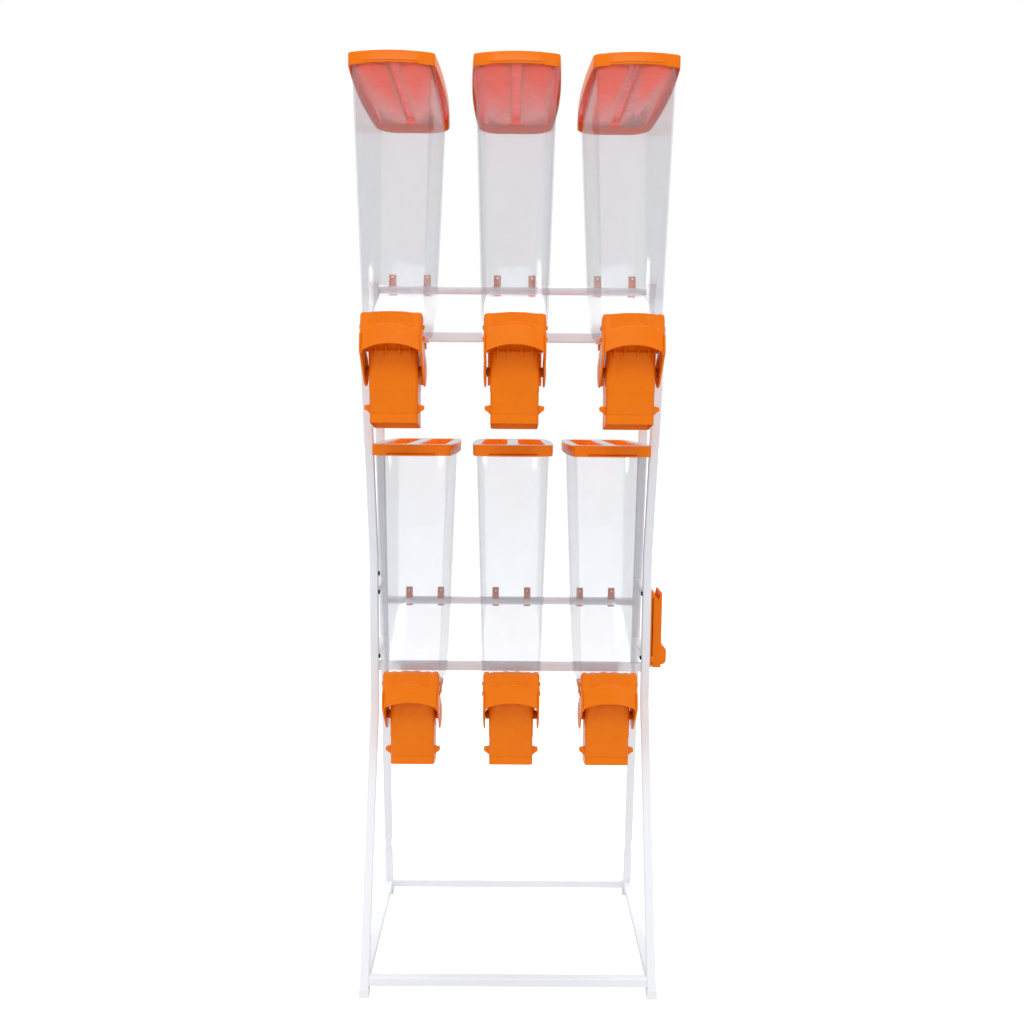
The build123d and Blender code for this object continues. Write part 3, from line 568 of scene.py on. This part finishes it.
class DISPENSER_OT_finishes(bpy.types.Operator):
    """Makes the materials"""

    bl_idname = "dispenser.finishes"
    bl_label = "Make the finishes"

    def execute(self, context):
        colours = context.scene.dispenser_colours
        powder_coated_steel(colours)
        orange_moulded_plastic(colours, ORANGE, let_through=0.12, sheen=0.4)
        orange_moulded_plastic(colours, THIN_ORANGE, let_through=0.6, sheen=2.4)
        clear_moulded_plastic(colours)
        small_parts_finishes(colours)
        return {"FINISHED"}


class DISPENSER_OT_stand(bpy.types.Operator):
    """Finishes the tubes, caps, plugs and screws of the stand"""

    bl_idname = "dispenser.stand"
    bl_label = "Finish the stand"

    def execute(self, context):
        finish_by_word = {
            "leg": "powder_coated_steel",
            "upright": "powder_coated_steel",
            "bar": "powder_coated_steel",
            "rung": "powder_coated_steel",
            "caps": "white_moulded_polyethylene",
            "plugs": "white_moulded_polyethylene",
        }
        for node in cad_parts:
            words = node.split("_")
            for word, finish in finish_by_word.items():
                if word in words:
                    finish_node(node, finish)
        finish_node("clamp_screws", "zinc_plated_steel")
        finish_node("post_screws", "black_oxide_steel")
        return {"FINISHED"}


class DISPENSER_OT_bins(bpy.types.Operator):
    """Finishes the six clear bins"""

    bl_idname = "dispenser.bins"
    bl_label = "Finish the bins"

    def execute(self, context):
        for unit in UNITS:
            finish_node(f"{unit}_hopper", "clear_moulded_polypropylene")
        return {"FINISHED"}


class DISPENSER_OT_mouldings(bpy.types.Operator):
    """Finishes the orange mouldings"""

    bl_idname = "dispenser.mouldings"
    bl_label = "Finish the orange mouldings"

    def execute(self, context):
        hood = make_hood()
        for unit in UNITS:
            shape = hood.copy()
            bmesh.ops.transform(shape, matrix=unit_place(unit), verts=shape.verts)
            shutter = f"{unit}_shutter"
            valve = f"{unit}_valve_body"
            lid = f"{unit}_lid"
            add_piece(f"{unit}_hood", shape, ORANGE, f"{shutter}_body", [shutter])
            add_piece(f"{unit}_spout", softened(valve, 0.6), ORANGE, STAND, [valve])
            add_piece(
                f"{unit}_cover",
                softened(lid, 0.5),
                ORANGE,
                f"{lid}_body",
                [lid],
                flat_material=THIN_ORANGE,
            )
            finish_node(f"{unit}_flow_gate", ORANGE)
        holder = softened("side_holder", 0.7)
        add_piece("bag_holder", holder, ORANGE, STAND, ["side_holder"])
        finish_node("rear_clamps", ORANGE)
        return {"FINISHED"}


def add_camera(settings):
    """The photographer's camera: its place, its turn, its tilt and its slight roll."""
    camera = bpy.data.objects.new("camera", bpy.data.cameras.new("camera"))
    bpy.context.scene.collection.objects.link(camera)
    camera.data.sensor_width = 36.0
    camera.data.lens = settings.lens
    camera.data.clip_start = 0.05
    camera.data.clip_end = 100.0
    yaw, pitch, roll = settings.camera_yaw, settings.camera_pitch, settings.camera_roll
    level_ahead = Vector((math.sin(yaw), math.cos(yaw), 0.0))
    level_right = Vector((math.cos(yaw), -math.sin(yaw), 0.0))
    vertical = Vector((0.0, 0.0, 1.0))
    ahead = level_ahead * math.cos(pitch) - vertical * math.sin(pitch)
    level_up = vertical * math.cos(pitch) + level_ahead * math.sin(pitch)
    right = level_right * math.cos(roll) + level_up * math.sin(roll)
    up = level_up * math.cos(roll) - level_right * math.sin(roll)
    turn = Matrix((right, up, -ahead)).transposed().to_4x4()
    camera.matrix_world = Matrix.Translation(settings.camera_place) @ turn
    bpy.context.scene.camera = camera


def add_softbox(name, place, target, width, height, power):
    """A rectangular light that faces its target."""
    lamp = bpy.data.lights.new(name, "AREA")
    lamp.shape = "RECTANGLE"
    lamp.size = width
    lamp.size_y = height
    lamp.energy = power
    box = bpy.data.objects.new(name, lamp)
    bpy.context.scene.collection.objects.link(box)
    aim = Vector(target) - Vector(place)
    box.matrix_world = Matrix.Translation(place) @ aim.to_track_quat("-Z", "Y").to_matrix().to_4x4()


def add_world(strength):
    # A white room: it shows as plain white, and lights the object a little less than it shows.
    world = bpy.data.worlds.new("white_room")
    bpy.context.scene.world = world
    world.use_nodes = True
    tree = world.node_tree
    tree.nodes.clear()
    path = add_node(tree, "ShaderNodeLightPath")
    shown = add_node(tree, "ShaderNodeBackground", {"Color": (1, 1, 1, 1), "Strength": 1.0})
    light = add_node(tree, "ShaderNodeBackground", {"Color": (1, 1, 1, 1), "Strength": strength})
    mixed = mixed_shader(
        tree, path.outputs["Is Camera Ray"], light.outputs["Background"], shown.outputs["Background"]
    )
    output = add_node(tree, "ShaderNodeOutputWorld")
    tree.links.new(mixed.outputs["Shader"], output.inputs["Surface"])


def add_floor(colours):
    """A wide plain floor."""
    bm = bmesh.new()
    bmesh.ops.create_circle(bm, cap_ends=True, segments=96, radius=30.0)
    mesh = bpy.data.meshes.new("floor")
    bm.to_mesh(mesh)
    bm.free()
    floor = bpy.data.objects.new("floor", mesh)
    bpy.context.scene.collection.objects.link(floor)
    tree, output = new_material("white_studio_floor")
    # Paper that looks plain white without lighting the stand from below.
    path = add_node(tree, "ShaderNodeLightPath")
    lift = ranged(tree, path.outputs["Is Camera Ray"], 0.0, 0.7)
    shader = add_node(
        tree,
        "ShaderNodeBsdfPrincipled",
        {
            "Base Color": linear(colours.floor),
            "Roughness": 0.9,
            "IOR": 1.3,
            "Emission Color": (1, 1, 1, 1),
            "Emission Strength": lift.outputs["Result"],
        },
    )
    tree.links.new(shader.outputs["BSDF"], output.inputs["Surface"])
    mesh.materials.append(materials["white_studio_floor"])


class DISPENSER_OT_stage(bpy.types.Operator):
    """Makes the floor, the light and the camera"""

    bl_idname = "dispenser.stage"
    bl_label = "Make the stage"

    def execute(self, context):
        settings = context.scene.dispenser_stage
        scene = context.scene
        scene.view_settings.view_transform = "Standard"
        # Looking across the row passes many clear walls.
        scene.cycles.transparent_max_bounces = 48
        add_camera(settings)
        add_floor(scene.dispenser_colours)
        add_world(settings.world_strength)
        add_softbox("top_softbox", (0, 0.4, 2.8), (0, 0.1, 1.6), 1.8, 0.9, settings.top_power)
        add_softbox("front_softbox", (-0.3, -3.0, 4.2), (0, 0, 1.1), 3.0, 1.8, settings.front_power)
        # Small bright boxes at both sides, in pairs one above the other
        width = 0.2
        for side, x in (("left", -1.78), ("right", 1.3)):
            for level, z, height in (("high", 1.66, 0.2), ("low", 0.9, 0.12)):
                power = settings.side_glow * math.pi * width * height
                add_softbox(f"{side}_{level}_softbox", (x, -2.4, z), (x, 0, z), width, height, power)
        return {"FINISHED"}


class DISPENSER_PT_panel(bpy.types.Panel):
    """Lists the steps in order"""

    bl_label = "Dispensers"
    bl_idname = "DISPENSER_PT_panel"
    bl_space_type = "VIEW_3D"
    bl_region_type = "UI"
    bl_category = "Dispensers"

    def draw(self, context):
        for step in STEPS:
            self.layout.operator(step.bl_idname)


STEPS = (
    DISPENSER_OT_finishes,
    DISPENSER_OT_stand,
    DISPENSER_OT_bins,
    DISPENSER_OT_mouldings,
    DISPENSER_OT_stage,
)
CLASSES = (DispenserColours, StageSettings, *STEPS, DISPENSER_PT_panel)


def register():
    for cls in CLASSES:
        bpy.utils.register_class(cls)
    bpy.types.Scene.dispenser_colours = PointerProperty(type=DispenserColours)
    bpy.types.Scene.dispenser_stage = PointerProperty(type=StageSettings)


def unregister():
    del bpy.types.Scene.dispenser_stage
    del bpy.types.Scene.dispenser_colours
    for cls in reversed(CLASSES):
        bpy.utils.unregister_class(cls)


def main():
    register()
    bpy.ops.dispenser.finishes()
    bpy.ops.dispenser.stand()
    bpy.ops.dispenser.bins()
    bpy.ops.dispenser.mouldings()
    bpy.ops.dispenser.stage()


if __name__ == "__main__":
    main()
